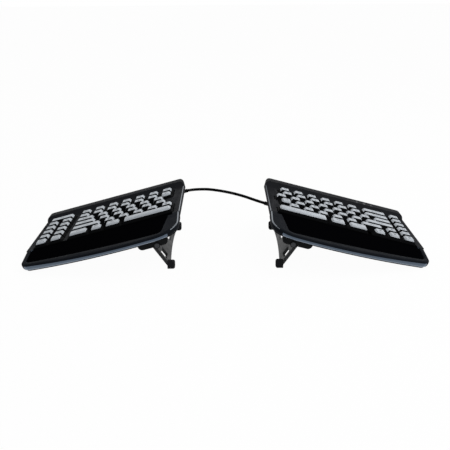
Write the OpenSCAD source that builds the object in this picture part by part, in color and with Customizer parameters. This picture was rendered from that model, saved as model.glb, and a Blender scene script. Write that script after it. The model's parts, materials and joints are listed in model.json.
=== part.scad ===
// Split keyboard on folding lifters: two tented halves joined by a link cable.
// Each half is drawn flat in its own frame: u runs outward from the inner edge, v to the back
// from the space row's middle line, w up from the bezel. It is then tented and set in place.

/* [Layout] */
// Tent angle of each half
tent = 15; // [14:0.25:16]
// Distance from the middle to each inner edge
half_gap = 56.4; // [56:0.1:60]
// Key pitch
unit = 19.05; // [18.8:0.05:19.5]
// Bezel beside the key field
margin = 8.5; // [8.3:0.1:10]

/* [Case] */
// Depth of the case under the bezel
case_t = 14; // [13.8:0.1:15]
// Height of the rim round the top case
rim = 6; // [5.6:0.1:6.2]
// Thickness of the shells
wall = 2.2; // [1.8:0.1:2.4]
// Thickness of the tray's floor
floor_t = 1.6; // [1.4:0.1:1.8]
// Thickness of the tray's walls
tray_wall = 2; // [1.8:0.1:2.1]
// Setback of the tray under the rim
setback = 4.5; // [4.3:0.1:4.6]
// Depth of the case behind the function row
back_strip = 33; // [32:0.5:40]
// Height of the back bar over the bezel
bar_h = 6; // [4:0.5:8]
// Radius of the case's back corners
corner_r = 8; // [7:0.5:10]
// Radius of the case screws' shanks
screw_r = 1.25; // [1:0.05:1.4]

/* [Palm rest] */
// Depth of the palm rest at its inner side, before rounding
palm_in = 61.7; // [59:0.1:64]
// Depth that its bowed front edge is drawn out to between the sides
palm_mid = 69.5; // [67:0.5:72]
// Depth of the palm rest at its outer side
palm_out = 42; // [40:0.5:45]
// Fall of the palm rest towards its front
palm_fall = 5.5; // [4.5:0.25:6]
// Radius of the inner front corner
inner_r = 33; // [28:0.5:36]
// Radius of the outer front corner
outer_r = 14; // [12:0.5:18]
// Depth of the recess that holds the pad
recess = 2; // [1.8:0.1:2.4]
// Rim in front of the pad at its inner end
pad_rim = 5.2; // [4.4:0.2:8]
// Crown of the pad over the rim
pad_crown = 0.4; // [0.2:0.1:1]

/* [Keys] */
// Gap between neighbouring caps
key_gap = 1.05; // [0.9:0.05:1.4]
// Height of the cap tops over the bezel
cap_top = 6; // [5:0.25:8]
// Depth of the cap skirts under the bezel
skirt = 1.5; // [1.2:0.1:1.6]
// Inset of a cap's top at each side
side_in = 2.7; // [2:0.1:3.2]
// Travel of a key
travel = 3.2; // [2.6:0.1:3.3]
// Side of a key's guide post
post = 5; // [4:0.25:6]

/* [Lifter] */
// Lean of the folded-out flap to the inner side
lean = 21; // [18:0.5:24]
// Distance of the hinge pin from the inner edge
pin_u = 32.3; // [31:0.1:36]
// Depth of the hinge pin under the bezel
pin_w = 24.2; // [24:0.1:26]
// Radius of the hinge pin
pin_r = 2; // [1.5:0.1:2.5]
// Thickness of the cheeks at each end of the lifter
cheek_t = 4.5; // [4:0.25:6]
// Thickness of the flap
flap_t = 3.8; // [3:0.1:4]
// Rubber under the flap's corners
sole = 3; // [2:0.25:4]

/* [Clearances] */
// Room round a guide post
post_clear = 0.3; // [0.25:0.05:0.4]
// Radial room of the hinge
pin_clear = 0.05; // [0.03:0.01:0.1]
// Room between pieces that only lie side by side
side_clear = 0.3; // [0.25:0.05:0.35]

/* [Hidden] */
NODES = concat(
    [for (s = ["left_", "right_"]) for (p = ["top_case", "bottom_case", "key_plate", "dome_sheet",
        "membrane", "backing_plate", "palm_rest", "palm_pad", "outer_feet", "case_screws",
        "lifter_base", "lifter_pin", "lifter_flap", "lifter_boots", "cable_gland",
        "function_keys", "number_keys", "upper_keys", "home_keys", "lower_keys",
        "space_bar", "bottom_keys", "shift_key"]) str(s, p)],
    ["left_tab_key", "left_caps_key", "left_hot_keys", "right_delete_key", "right_backspace_key",
     "right_enter_key", "right_arrow_keys", "right_side_keys", "right_controller_board",
     "right_light_pipes", "left_host_gland", "link_cable"]);
node = "all";
$fn = 48;

// Plan of a half
half_w = 9.5 * unit + 2 * margin;
key_front = -unit / 2;
key_back = 5.5 * unit;
v_split = key_front - 3.5;
past = 20;
palm_far = v_split - palm_mid - past;
back_v = key_back + back_strip;
bar_gap = 10;
bar_v = key_back + bar_gap;
bar_r = 5;
arc_steps = 8;
bow_u = 109;

// Heights in a half
floor_top = -case_t + floor_t;
backing_top = floor_top + 0.8;
membrane_top = backing_top + 0.4;
sheet_top = membrane_top + 0.6;
press_gap = 0.3;
post_end = sheet_top + press_gap + travel;
guide_top = -skirt - travel - 0.4;
guide_t = 1.5;
seat = 1.5;
case_in = setback + seat;
plate_in = setback + tray_wall + side_clear;
plate_back = key_back + 4.7;
deck_under = recess + 1.6;
palm_skirt = 12.6;
palm_wall = setback - side_clear;
lip_in = palm_wall - 0.4;
pad_seam = 0.9;
pad_bow = 7.6;

// Fasteners, as places in a half
case_bosses = [for (u = [40, half_w / 2, half_w - 40]) [u, bar_v + 0.5]];
palm_bosses = [[66, v_split - 16], [66, v_split - 40], [128, v_split - 36], [half_w - 18, v_split - 8]];
lifter_bosses = [[21.5, v_split - 27], [21.5, key_back + 7.2]];
standoffs = [for (u = [20, half_w / 2, half_w - 20]) for (k = [0.5, 2.5, 4.5]) [u, k * unit]];
hold_downs = [for (u = [20, half_w / 2, half_w - 20]) [u, key_back + 2.8]];
boss_r = 3.3;
head_r = 2.5;
head_h = 0.9;

// Lifter
lift_v0 = v_split - 38.5;
lift_v1 = back_v - 11;
flap_v0 = lift_v0 + cheek_t + 0.5;
flap_v1 = lift_v1 - cheek_t - 0.5;
cheek_u0 = 18;
cheek_u1 = pin_u + 23;
cheek_under = 1.7;
cheek_w = pin_w + cheek_under;
cheek_land = 0.25;
knuckle_r = pin_r + 2;
flap_n = 3.4;
prop = tent + lean;
rail_w = 8.5;
boot_h = 9;
boot_l = 9;
boot_in = 6.5;
boot_out = 2.6;
foot_rise = 1.3;

// The outer feet set how high each half stands, the flap's length follows from it
lift = (half_w - 8) * sin(tent) + case_t * cos(tent) + foot_rise;
pin_z = lift - pin_u * sin(tent) - pin_w * cos(tent);
flap_len = (pin_z - sole - (flap_n + flap_t) * sin(prop)) / cos(prop);

// Link cable and its glands
cable_r = 1.9;
gland_r = 2.8;
gland_w = -9.5;
gland_mouth = -2.5;
gland_v = [122, 52];

// Rows of keys: [row, start, width] in key pitches from the inner end of the key field
function run(row, start, count) = [for (i = [0:count - 1]) [row, start + i, 1]];
block = 7.55;
key_sets = [
    ["left_function_keys", run(5, 0.25, 7)],
    ["left_number_keys", run(4, 0.25, 7)],
    ["left_upper_keys", run(3, 0.75, 5)],
    ["left_home_keys", run(2, 0.5, 5)],
    ["left_lower_keys", run(1, 0, 5)],
    ["left_space_bar", [[0, 0, 3.5]]],
    ["left_bottom_keys", [[0, 3.5, 1.25], [0, 4.75, 1], [0, 5.75, 1.5]]],
    ["left_shift_key", [[1, 5, 2.25]]],
    ["left_tab_key", [[3, 5.75, 1.5]]],
    ["left_caps_key", [[2, 5.5, 1.75]]],
    ["left_hot_keys", concat([[5, block, 2]], [for (k = [0:4]) for (i = [0, 1]) [k, block + i, 1]])],
    ["right_function_keys", run(5, 0.38, 6)],
    ["right_number_keys", run(4, 0.5, 6)],
    ["right_upper_keys", concat(run(3, 0, 7), [[3, 7, 1.5]])],
    ["right_home_keys", run(2, 0.25, 6)],
    ["right_lower_keys", run(1, 0.75, 5)],
    ["right_space_bar", [[0, 0, 3.5]]],
    ["right_bottom_keys", [[0, 3.5, 1.25], [0, 4.75, 1.5]]],
    ["right_shift_key", [[1, 5.75, 1.75]]],
    ["right_delete_key", [[5, 6.5, 2]]],
    ["right_backspace_key", [[4, 6.5, 2]]],
    ["right_enter_key", [[2, 6.25, 2.25]]],
    ["right_arrow_keys", [[0, 6.5, 1], [0, 7.5, 1], [0, 8.5, 1], [1, 7.5, 1]]],
    ["right_side_keys", [for (k = [1:5]) [k, 8.5, 1]]]];

// Stretches of the bezel that are open for the keys: [row, start, end]
left_wells = concat(
    [[5, 0.25, 7.25], [4, 0.25, 7.25], [3, 0.75, 7.25], [2, 0.5, 7.25], [1, 0, 7.25], [0, 0, 7.25]],
    [for (k = [0:5]) [k, block, block + 2]]);
right_wells = [[5, 0.38, 9.5], [4, 0.5, 9.5], [3, 0, 9.5], [2, 0.25, 9.5], [1, 0.75, 9.5], [0, 0, 9.5]];

function side_name(side) = side < 0 ? "left_" : "right_";
function shown(name) = node == "all" || node == name;
function wells(side) = side < 0 ? left_wells : right_wells;
function key_margin(side) = side < 0 ? margin - 1 : margin;
function side_keys(side) = [for (s = key_sets) if (s[0][0] == side_name(side)[0]) for (k = s[1]) k];
function key_u(side, k) = key_margin(side) + (k[1] + k[2] / 2) * unit;

// Plan outlines
function mix(a, b, f) = a + (b - a) * f;
function unit_vec(a) = a / norm(a);
function turn(a) = a > 180 ? a - 360 : a < -180 ? a + 360 : a;
function corner(p0, p1, p2, r) =
    let (a = unit_vec(p0 - p1), b = unit_vec(p2 - p1), half = acos(a * b) / 2,
         c = p1 + unit_vec(a + b) * r / sin(half),
         s = p1 + a * r / tan(half) - c, e = p1 + b * r / tan(half) - c,
         from = atan2(s[1], s[0]), sweep = turn(atan2(e[1], e[0]) - from))
    [for (i = [0:arc_steps]) let (t = from + sweep * i / arc_steps) c + r * [cos(t), sin(t)]];

// The corners of a half's outline, drawn in by q: inner back, outer back, outer front,
// the point that its front edge bows towards, inner front
function at_u(p, a, u) = p + a * (u - p[0]) / a[0];
function across(a) = [-a[1], a[0]];
function corners(q) =
    let (i = [0, v_split - palm_in], m = [bow_u, v_split - palm_mid],
         o = [half_w, v_split - palm_out],
         a = unit_vec(m - i), b = unit_vec(o - m), na = across(a), nb = across(b))
    [[q, back_v - q], [half_w - q, back_v - q], at_u(m + nb * q, b, half_w - q),
     m + (na + nb) * q / (1 + na * nb), at_u(i + na * q, a, q)];
function bow(a, m, b) = [for (k = [1:9]) let (f = k / 10) mix(mix(a, m, f), mix(m, b, f), f)];
function bowed(c, r) =
    let (o = corner(c[0], c[1], c[2], r[0]), i = corner(c[2], c[3], c[4], r[1]))
    concat(o, bow(o[arc_steps], c[2], i[0]), i);
function back_arcs(q) = let (c = corners(q), r = max(corner_r - q, 1))
    concat(corner(c[4], c[0], c[1], r), corner(c[0], c[1], c[2], r));
function front_path(q) = let (c = corners(q))
    bowed([c[1], c[2], c[3], c[4], c[0]], [max(outer_r - q, 3), max(inner_r - q, 3)]);
function full_plan(q) = concat(back_arcs(q), front_path(q));
function deck_plan(q, front) = concat(back_arcs(q), [[half_w - q, v_split + front], [q, v_split + front]]);
function palm_plan(q, back) = concat([[q, v_split - back], [half_w - q, v_split - back]], front_path(q));
function sheet_plan(q, front, back) =
    [[q, v_split + front], [half_w - q, v_split + front], [half_w - q, back], [q, back]];

// Edge and pad of the palm rest as paths of equal length, from the outer back to the inner back
function sided(path, outer, inner) = concat([for (i = [0:3]) mix(outer, path[0], i / 4)], path,
    [for (i = [1:4]) mix(path[len(path) - 1], inner, i / 4)]);
palm_path = sided(front_path(0), [half_w, v_split], [0, v_split]);
function pad_path(q) =
    let (o = [half_w - 6 - q, v_split - palm_out + 3.5 + q], i = [21 + q, v_split - palm_in + pad_rim + q],
         ob = [o[0], v_split - pad_seam - q], ib = [13 + q, v_split - pad_seam - q])
    sided(bowed([ob, o, mix(o, i, 0.5) - [0, pad_bow], i, ib], [10, 8]), ob, ib);
y_mid = (back_v + min([for (p = palm_path) p[1]])) / 2;

// Route of the link cable from one gland's mouth to the other's, through chosen points
cable_route = concat([on_half(-1, [gland_mouth, gland_v[0], gland_w])],
    [[-40, 90, 57.3], [-24, 84.5, 58.8], [-8, 73.5, 59.6], [9, 58.5, 60], [25, 41.5, 59.8], [40, 27, 58.1]],
    [on_half(1, [gland_mouth, gland_v[1], gland_w])]);

// A half's frame set in place, and the flap's frame: n across it, v along the hinge, s down it
module half(side) {
    mirror([side < 0 ? 1 : 0, 0, 0])
        translate([half_gap, -y_mid, lift])
            rotate([0, tent, 0])
                children();
}
function on_half(side, p) = [side * (half_gap + p[0] * cos(tent) + p[2] * sin(tent)), p[1] - y_mid,
    lift - p[0] * sin(tent) + p[2] * cos(tent)];
module flap_frame() {
    translate([pin_u, 0, -pin_w])
        rotate([0, lean, 0])
            children();
}
module above_desk() {
    reach = half_gap + 2 * half_w;
    intersection() {
        children();
        translate([-reach, -reach, 0])
            cube([2 * reach, 2 * reach, half_w]);
    }
}

// Solids that repeat
module slab(plan, from, to) {
    translate([0, 0, from])
        linear_extrude(to - from)
            polygon(plan);
}
module along_u(profile, from, to) {
    translate([from, 0, 0])
        rotate([90, 0, 90])
            linear_extrude(to - from)
                polygon(profile);
}
module along_v(profile, from, to) {
    translate([0, to, 0])
        rotate([90, 0, 0])
            linear_extrude(to - from)
                polygon(profile);
}
module pillars(places, r, from, to) {
    for (p = places)
        translate([p[0], p[1], from])
            cylinder(r = r, h = to - from);
}
module rod_v(u, w, r, from, to) {
    translate([u, to, w])
        rotate([90, 0, 0])
            cylinder(r = r, h = to - from);
}
module rod_u(v, w, r, from, to) {
    translate([from, v, w])
        rotate([0, 90, 0])
            cylinder(r = r, h = to - from);
}

// Skin over rings of equal length, each a closed path from above, lowest ring first
module loft(rings) {
    n = len(rings[0]);
    top = (len(rings) - 1) * n;
    sides = [for (r = [0:len(rings) - 2]) for (i = [0:n - 1])
        let (a = r * n + i, b = r * n + (i + 1) % n) each [[a, b, b + n], [a, b + n, a + n]]];
    lid = [for (i = [0:(n - 3) / 2]) let (j = n - 1 - i)
        each concat([[i, i + 1, j]], i + 1 < j - 1 ? [[i + 1, j - 1, j]] : [])];
    polyhedron([for (r = rings) each r],
        concat(sides, [for (f = lid) f + top * [1, 1, 1]], [for (f = lid) [f[2], f[1], f[0]]]));
}

// Cases
module top_case(side) {
    m = key_margin(side);
    bar = [[bar_v, -0.5], [bar_v + 6, bar_h], [back_v, bar_h], [back_v, -0.5]];
    ends = concat([[0, -rim], [half_w, -rim]], corner([half_w, 0], [half_w, bar_h], [0, bar_h], bar_r),
        corner([half_w, bar_h], [0, bar_h], [0, 0], bar_r));
    bar_room = [[bar_v + wall + 1, -wall - 1], [bar_v + wall + 5.5, bar_h - wall],
        [back_v - case_in, bar_h - wall], [back_v - case_in, -wall - 1]];
    color("#17181b") {
        difference() {
            union() {
                slab(deck_plan(0, 0), -rim, 0);
                intersection() {
                    slab(deck_plan(0, 0), -rim, bar_h);
                    along_u(bar, 0, half_w);
                    along_v(ends, bar_v - 1, back_v + 1);
                }
            }
            slab(deck_plan(case_in, 3.2), -rim - 1, -wall);
            along_u(bar_room, case_in, half_w - case_in);
            for (k = wells(side))
                translate([m + k[1] * unit - side_clear, (k[0] - 0.5) * unit - side_clear, -wall - 1])
                    cube([(k[2] - k[1]) * unit + 2 * side_clear, unit + 2 * side_clear, wall + bar_h]);
            if (side > 0)
                light_pipe_rods(1.4 + pin_clear);
        }
        difference() {
            pillars(case_bosses, boss_r, floor_top, -wall + 0.5);
            pillars(case_bosses, screw_r, floor_top - 1, floor_top + 7);
        }
        pillars(hold_downs, 1.3, guide_top, -wall + 0.5);
    }
}
module bottom_case(side) {
    color("#121316") {
        difference() {
            slab(full_plan(setback), -case_t, -rim);
            slab(full_plan(setback + tray_wall), floor_top, -rim + 1);
            along_u([[v_split, -deck_under - side_clear],
                [palm_far, palm_under(palm_far) - side_clear],
                [palm_far, 1], [v_split, 1]], 0, half_w);
            screw_holes(concat(case_bosses, palm_bosses));
            rod_u(gland_v[side < 0 ? 0 : 1], gland_w, gland_r, 0, plate_in);
            if (side < 0)
                rod_v(half_w / 2, gland_w, gland_r, back_v - plate_in, back_v);
            pillars(lifter_bosses, screw_r, -case_t - 1, -case_t + 5);
        }
        translate([setback + tray_wall - 0.5, v_split, floor_top - 0.5])
            cube([half_w - 2 * (setback + tray_wall) + 1, 2, -rim - floor_top + 0.5]);
        difference() {
            pillars(lifter_bosses, boss_r, floor_top - 0.5, -7.6);
            pillars(lifter_bosses, screw_r, -case_t - 1, -case_t + 5);
        }
        if (side > 0)
            pillars(board_posts, 2, floor_top - 0.5, board_w);
    }
}
module screw_holes(places) {
    pillars(places, screw_r, -case_t - 1, floor_top + 1);
    pillars(places, head_r, -case_t - 1, -case_t + head_h);
}
module screw_group(places, under, depth) {
    pillars(places, screw_r, under + head_h - 0.1, under + depth);
    pillars(places, head_r, under, under + head_h);
}
module case_screws() {
    color("#8a8d92") {
        screw_group(case_bosses, -case_t, floor_t + 5);
        screw_group(palm_bosses, -case_t, floor_t + 3.6);
        screw_group(lifter_bosses, -case_t - 4, 8);
    }
}

// Palm rest: its top falls to the front, with a rounded edge and a recess for the pad
edge_r = 2.5;
function level(v) = tan(palm_fall) * min(v - v_split, 0);
function palm_under(v) = level(v) - deck_under;
function palm_inward(i) = let (n = len(palm_path) - 1,
    t = unit_vec(palm_path[min(i + 1, n)] - palm_path[max(i - 1, 0)])) [t[1], -t[0]];
function lip_ring(a) = [for (i = [0:len(palm_path) - 1])
    let (p = palm_path[i] + palm_inward(i) * lip_in * (1 - cos(a)),
         h = level(palm_path[i][1]) - edge_r + palm_skirt)
    [p[0], p[1], h * (1 - sin(a)) - palm_skirt]];
function edge_ring(a) = [for (i = [0:len(palm_path) - 1])
    let (p = palm_path[i] + palm_inward(i) * edge_r * (1 - cos(a)))
    [p[0], p[1], level(p[1]) - edge_r * (1 - sin(a))]];
function pad_ring(q, w) = [for (p = pad_path(q)) [p[0], p[1], level(p[1]) + w]];
module palm_rest() {
    rings = concat([for (a = [90:-18:18]) lip_ring(a)], [for (a = [0:18:90]) edge_ring(a)],
        [pad_ring(0, 0), pad_ring(0, -recess)]);
    color("#1b1c21") {
        difference() {
            loft(rings);
            intersection() {
                slab(palm_plan(palm_wall, -1), -palm_skirt - 1, 0);
                along_u([[v_split + 2, -past], [v_split + 2, -deck_under], [v_split, -deck_under],
                    [palm_far, palm_under(palm_far)], [palm_far, -past]], 0, half_w);
            }
        }
        difference() {
            for (p = palm_bosses)
                pillars([p], boss_r, floor_top, palm_under(p[1]) + 0.5);
            pillars(palm_bosses, screw_r, floor_top - 1, floor_top + 4);
        }
    }
}
module palm_pad() {
    steps = [[0.2, 0.15 - recess], [0.2, -1], [0.9, -0.35], [3, 0.6 * pad_crown], [8, pad_crown]];
    color("#060607")
        loft([for (s = steps) pad_ring(s[0], s[1])]);
}
module outer_feet(side) {
    color("#0c0c0d")
        above_desk()
            half(side)
                for (v = [v_split - 30, key_back - 4])
                    translate([half_w - 15, v, -case_t - 8])
                        cube([8.5, 16, 8]);
}

// Layers under the keys
module sheet_holes() {
    pillars(standoffs, 2.2, -case_t, 0);
}
module key_plate(side) {
    color("#2b2d31") {
        difference() {
            slab(sheet_plan(plate_in, 3.5, plate_back), guide_top - guide_t, guide_top);
            for (k = side_keys(side))
                posts(key_u(side, k), k, post_clear, guide_top - guide_t - 1, guide_top + 1);
        }
        pillars(standoffs, 1.6, backing_top, guide_top - guide_t + 0.5);
    }
}
module dome_sheet(side) {
    dome_h = post_end - 0.1 - sheet_top;
    color("#c9c4b4")
        difference() {
            union() {
                slab(sheet_plan(plate_in, 4, key_back), membrane_top, sheet_top);
                for (k = side_keys(side))
                    translate([key_u(side, k), k[0] * unit, membrane_top])
                        cylinder(r1 = 4.6, r2 = 2.4, h = dome_h + sheet_top - membrane_top);
            }
            sheet_holes();
        }
}
module membrane() {
    color("#9fb0a6")
        difference() {
            slab(sheet_plan(plate_in, 4, key_back), backing_top, membrane_top);
            sheet_holes();
        }
}
module backing_plate() {
    color("#a7abb0")
        slab(sheet_plan(plate_in, 4, key_back), floor_top, backing_top);
}

// Keys: a hollow tapered cap on a square post, and two guide blades under a wide cap
module posts(u, k, room, from, to) {
    s = post + 2 * room;
    translate([u - s / 2, k[0] * unit - s / 2, from])
        cube([s, s, to - from]);
    if (k[2] >= 2)
        for (e = [-1, 1])
            translate([u + e * (k[2] * unit / 2 - 9) - 1.5 - room, k[0] * unit - 2 - room, from])
                cube([3 + 2 * room, 4 + 2 * room, to - from]);
}
module cap_body(w, d, low, top) {
    intersection() {
        along_v([[-w / 2, low], [w / 2, low], [w / 2 - side_in, top], [side_in - w / 2, top]],
            -d / 2, d / 2);
        along_u([[-d / 2, low], [d / 2, low], [d / 2 - 2.4, top], [1.6 - d / 2, top]],
            -w / 2, w / 2);
    }
}
module key(side, k) {
    u = key_u(side, k);
    w = k[2] * unit - key_gap;
    d = unit - key_gap;
    translate([u, k[0] * unit, 0])
        difference() {
            cap_body(w, d, -skirt, cap_top);
            cap_body(w - 2.6, d - 2.6, -skirt - 0.1, cap_top - 1.6);
        }
    posts(u, k, 0, post_end, cap_top - 1);
}
module keys(side, set) {
    color("#8f949b")
        for (k = set)
            key(side, k);
}

// Lifter under the inner side of each half
module lifter_base() {
    h = cheek_w - case_t;
    r = h / 2 - cheek_land;
    color("#0e0f11")
        difference() {
            union() {
                for (v = [lift_v0, lift_v1 - cheek_t])
                    translate([0, v + cheek_t, 0])
                        rotate([90, 0, 0])
                            linear_extrude(cheek_t) {
                                translate([cheek_u0, r - cheek_w])
                                    square([cheek_u1 - cheek_u0, h - r]);
                                translate([cheek_u0 + r, -cheek_w])
                                    square([cheek_u1 - cheek_u0 - 2 * r, h]);
                                for (u = [cheek_u0 + r, cheek_u1 - r])
                                    translate([u, r - cheek_w])
                                        circle(r);
                                translate([pin_u, -pin_w])
                                    circle(knuckle_r);
                            }
                translate([cheek_u0, lift_v0, -case_t - 4])
                    cube([7, lift_v1 - lift_v0, 4]);
            }
            rod_v(pin_u, -pin_w, pin_r, lift_v0 - 1, lift_v1 + 1);
            pillars(lifter_bosses, screw_r, -case_t - 5, -case_t + 1);
            pillars(lifter_bosses, head_r, -case_t - 5, -case_t - 4 + head_h);
        }
}
module lifter_pin() {
    color("#9a9da3") {
        rod_v(pin_u, -pin_w, pin_r, lift_v0 - 0.5, lift_v1 + 1);
        rod_v(pin_u, -pin_w, pin_r + 1, lift_v0 - 1.6, lift_v0);
    }
}
module flap_plate() {
    span = flap_v1 - flap_v0 - 24;
    rise = 3;
    arch_r = (span * span / 4 + rise * rise) / (2 * rise);
    rail = flap_len - rail_w;
    translate([flap_n, 0, 0])
        rotate([90, 0, 90])
            linear_extrude(flap_t)
                difference() {
                    translate([flap_v0, -flap_len])
                        square([flap_v1 - flap_v0, flap_len]);
                    translate([(flap_v0 + flap_v1) / 2, rise - flap_len - arch_r])
                        circle(arch_r, $fn = 180);
                    translate([flap_v0 + 5, -rail])
                        square([18, rail - 12]);
                    translate([key_front + 38, -rail])
                        square([flap_v1 - 6 - key_front - 38, rail - 7]);
                }
}
module lifter_flap() {
    color("#35373b")
        flap_frame()
            difference() {
                union() {
                    flap_plate();
                    for (v = [flap_v0, key_front + 6, flap_v1 - 8]) {
                        rod_v(0, 0, knuckle_r, v, v + 8);
                        translate([0, v, -knuckle_r])
                            cube([flap_n + 1, 8, knuckle_r]);
                    }
                }
                rod_v(0, 0, pin_r + pin_clear, flap_v0 - 1, flap_v1 + 1);
            }
}
module lifter_boots(side) {
    color("#0b0c0d")
        above_desk()
            half(side)
                flap_frame()
                    difference() {
                        for (v = [flap_v0 - side_clear, flap_v1 + side_clear - boot_l])
                            translate([flap_n + flap_t / 2, v, -flap_len])
                                rotate([0, -prop, 0])
                                    translate([-boot_in, 0, -sole - 3])
                                        cube([boot_in + boot_out, boot_l, boot_h + 3]);
                        flap_plate();
                    }
}

// Cable glands, controller board and indicators
module gland(length) {
    rotate([0, 90, 0]) {
        cylinder(r = gland_r, h = length);
        translate([0, 0, tray_wall])
            cylinder(r = gland_r + 0.6, h = 1.2);
    }
}
module cable_gland(side) {
    color("#0d0d0e")
        translate([setback + tray_wall, gland_v[side < 0 ? 0 : 1], gland_w])
            rotate([0, 0, 180])
                gland(setback + tray_wall - gland_mouth);
}
module host_gland() {
    depth = setback + tray_wall;
    color("#0d0d0e")
        difference() {
            translate([half_w / 2, back_v - depth, gland_w])
                rotate([0, 0, 90])
                    gland(depth);
            rod_v(half_w / 2, gland_w, cable_r, back_v - depth + 1, back_v + 1);
        }
}
board_w = -9.4;
board_t = 1.2;
board_u = [80, 166];
board_v = [back_v - 18.4, back_v - 7.4];
board_posts = [for (u = [board_u[0] + 6, board_u[1] - 6]) [u, (board_v[0] + board_v[1]) / 2]];
module light_pipe_rods(r) {
    pillars([for (i = [0:2]) [132 + 10 * i, back_v - 11]], r, board_w + board_t, bar_h + 0.2);
}
module controller_board() {
    color("#1d5a3a")
        translate([board_u[0], board_v[0], board_w])
            cube([board_u[1] - board_u[0], board_v[1] - board_v[0], board_t]);
}
module light_pipes() {
    color("#d8dfe2")
        light_pipe_rods(1.4);
}

// Link cable: a round tube along a smooth curve through the chosen points
route_steps = 4;
function spline(p, i, f) =
    let (n = len(p) - 1, a = p[max(i - 1, 0)], b = p[i], c = p[i + 1], d = p[min(i + 2, n)])
    ((2 * b) + (c - a) * f + (2 * a - 5 * b + 4 * c - d) * f * f + (3 * b - a - 3 * c + d) * f * f * f) / 2;
cable_line = concat([for (i = [0:len(cable_route) - 2]) for (s = [0:route_steps - 1])
    spline(cable_route, i, s / route_steps)], [cable_route[len(cable_route) - 1]]);
function cable_heading(i) = let (n = len(cable_line) - 1)
    i == 0 ? [cos(tent), 0, sin(tent)] : i == n ? [cos(tent), 0, -sin(tent)]
    : unit_vec(cable_line[i + 1] - cable_line[i - 1]);
module link_cable() {
    rings = [for (i = [0:len(cable_line) - 1])
        let (t = cable_heading(i), across = unit_vec(cross(t, [0, 0, 1])), up = cross(across, t))
        [for (j = [0:7]) cable_line[i] + cable_r * (cos(45 * j) * across + sin(45 * j) * up)]];
    color("#101012")
        loft(rings);
}

// Both halves, and the cable between them
for (side = [-1, 1]) {
    name = side_name(side);
    half(side) {
        if (shown(str(name, "top_case"))) top_case(side);
        if (shown(str(name, "bottom_case"))) bottom_case(side);
        if (shown(str(name, "key_plate"))) key_plate(side);
        if (shown(str(name, "dome_sheet"))) dome_sheet(side);
        if (shown(str(name, "membrane"))) membrane();
        if (shown(str(name, "backing_plate"))) backing_plate();
        if (shown(str(name, "palm_rest"))) palm_rest();
        if (shown(str(name, "palm_pad"))) palm_pad();
        if (shown(str(name, "case_screws"))) case_screws();
        if (shown(str(name, "lifter_base"))) lifter_base();
        if (shown(str(name, "lifter_pin"))) lifter_pin();
        if (shown(str(name, "lifter_flap"))) lifter_flap();
        if (shown(str(name, "cable_gland"))) cable_gland(side);
        for (set = key_sets)
            if (set[0][0] == name[0] && shown(set[0])) keys(side, set[1]);
    }
    if (shown(str(name, "outer_feet"))) outer_feet(side);
    if (shown(str(name, "lifter_boots"))) lifter_boots(side);
}
if (shown("right_controller_board")) half(1) controller_board();
if (shown("right_light_pipes")) half(1) light_pipes();
if (shown("left_host_gland")) half(-1) host_gland();
if (shown("link_cable")) link_cable();
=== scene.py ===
# %% [markdown]
# # A tented split keyboard
# The keyboard is two black halves that lean on folding lifters and are joined by a short cable.
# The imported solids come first, as a fixed frame in metres. Everything below dresses that frame:
# pieces with softer edges and finer shapes stand where the plain solids were, and each one rides
# on the body that moves it.

# %% Load the frame
import json
import math

import bmesh
import bpy
from mathutils import Matrix, Quaternion, Vector

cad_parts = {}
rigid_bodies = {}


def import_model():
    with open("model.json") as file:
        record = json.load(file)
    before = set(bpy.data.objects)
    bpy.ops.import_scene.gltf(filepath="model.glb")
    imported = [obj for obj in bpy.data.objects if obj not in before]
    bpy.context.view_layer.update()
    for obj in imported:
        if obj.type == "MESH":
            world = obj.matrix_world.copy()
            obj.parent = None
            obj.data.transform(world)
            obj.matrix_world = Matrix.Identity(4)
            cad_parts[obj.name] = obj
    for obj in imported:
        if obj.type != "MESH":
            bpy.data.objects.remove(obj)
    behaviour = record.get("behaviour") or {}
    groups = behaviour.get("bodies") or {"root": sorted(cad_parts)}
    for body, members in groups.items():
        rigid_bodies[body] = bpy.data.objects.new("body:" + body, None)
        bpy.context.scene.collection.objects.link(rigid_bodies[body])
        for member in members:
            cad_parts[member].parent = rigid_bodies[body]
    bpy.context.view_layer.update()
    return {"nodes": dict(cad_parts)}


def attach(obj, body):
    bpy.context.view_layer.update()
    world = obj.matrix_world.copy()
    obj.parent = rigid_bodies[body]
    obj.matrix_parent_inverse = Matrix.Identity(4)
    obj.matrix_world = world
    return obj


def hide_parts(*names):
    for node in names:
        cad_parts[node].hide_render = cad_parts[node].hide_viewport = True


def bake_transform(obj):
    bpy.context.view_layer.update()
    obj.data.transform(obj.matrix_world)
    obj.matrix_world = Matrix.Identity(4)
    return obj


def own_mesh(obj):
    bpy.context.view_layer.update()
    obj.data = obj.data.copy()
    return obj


for leftover in list(bpy.data.objects):
    bpy.data.objects.remove(leftover)
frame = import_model()
MM = 0.001

# %% [markdown]
# ## Camera
# A keyboard is photographed from the typist's side, a little above the desk, with a long lens so
# that both halves keep their proportions. A lens of 65 mm from 1 m away does that. The picture is
# tilted by less than half a degree, and so is the camera.

# %% Camera
EYE = Vector((0, -999.7, 331.9)) * MM
LOOK_AT = Vector((0, -30.5, 41.6)) * MM
TILT, LENS, SENSOR = math.radians(-0.44), 64.74, 36


def placed(name, data):
    """A new object in the scene."""
    made = bpy.data.objects.new(name, data)
    bpy.context.scene.collection.objects.link(made)
    return made


lens = bpy.data.cameras.new("desk_camera")
lens.lens = LENS
lens.sensor_width = SENSOR
camera = placed("desk_camera", lens)
camera.location = EYE
camera.rotation_mode = "QUATERNION"
camera.rotation_quaternion = (LOOK_AT - EYE).to_track_quat("-Z", "Y") @ Quaternion((0, 0, 1), TILT)
bpy.context.scene.camera = camera
print("camera", round((LOOK_AT - EYE).length, 3), "m away")

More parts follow.
